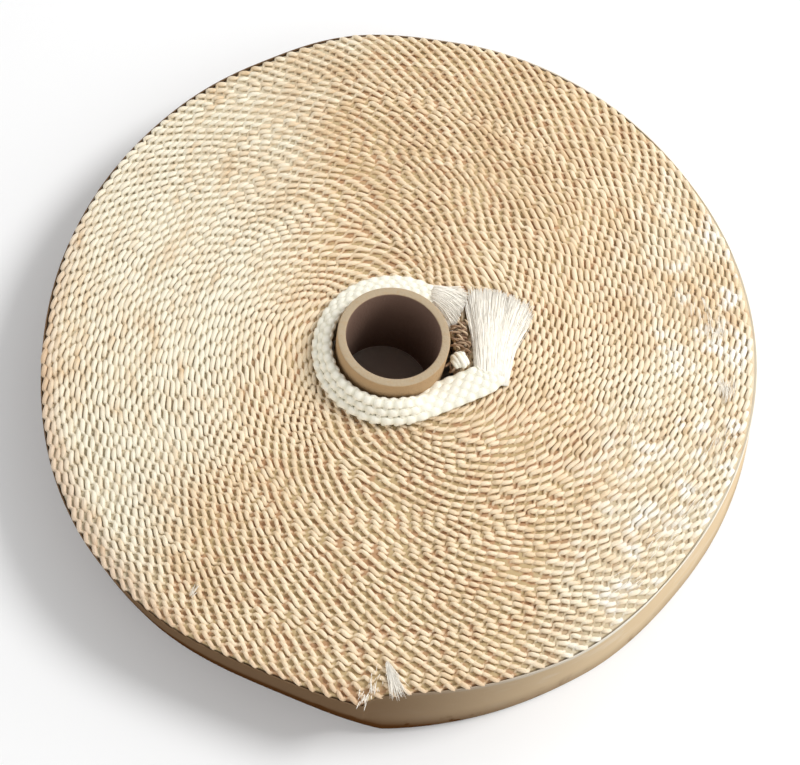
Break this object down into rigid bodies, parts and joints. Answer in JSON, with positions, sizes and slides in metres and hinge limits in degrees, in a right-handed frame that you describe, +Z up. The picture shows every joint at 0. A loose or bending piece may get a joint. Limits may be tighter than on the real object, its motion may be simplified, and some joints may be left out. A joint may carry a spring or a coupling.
{
  "type": "exhaust heat wrap",
  "caption": "Roll of woven tan heat wrap tape lying flat, wound on a cardboard tube with a frayed white strip round it and a thin brown band round its side.",
  "frame": {"origin": "centre of the part's box in plan, on its lower end face", "axes": "+Z up along the roll's axis, out of the end face that the picture shows; -Y towards the viewer, where the tape's outer end lies"},
  "size_m": [0.2072, 0.2096, 0.0373],
  "materials": {
    "woven_tape": "coarse plain weave of glass fibre, tan with brown gaps, matt",
    "cardboard": "plain grey-tan cardboard tube, matt",
    "white_strip": "off-white coarse weave with frayed ends, matt",
    "brown_band": "thin smooth khaki-brown film, soft gloss, darker at its lower edge"
  },
  "bodies": {
    "root": {"wrap_roll": "woven_tape", "core_tube": "cardboard", "inner_strip": "white_strip", "outer_band": "brown_band"}
  },
  "joints": []
}
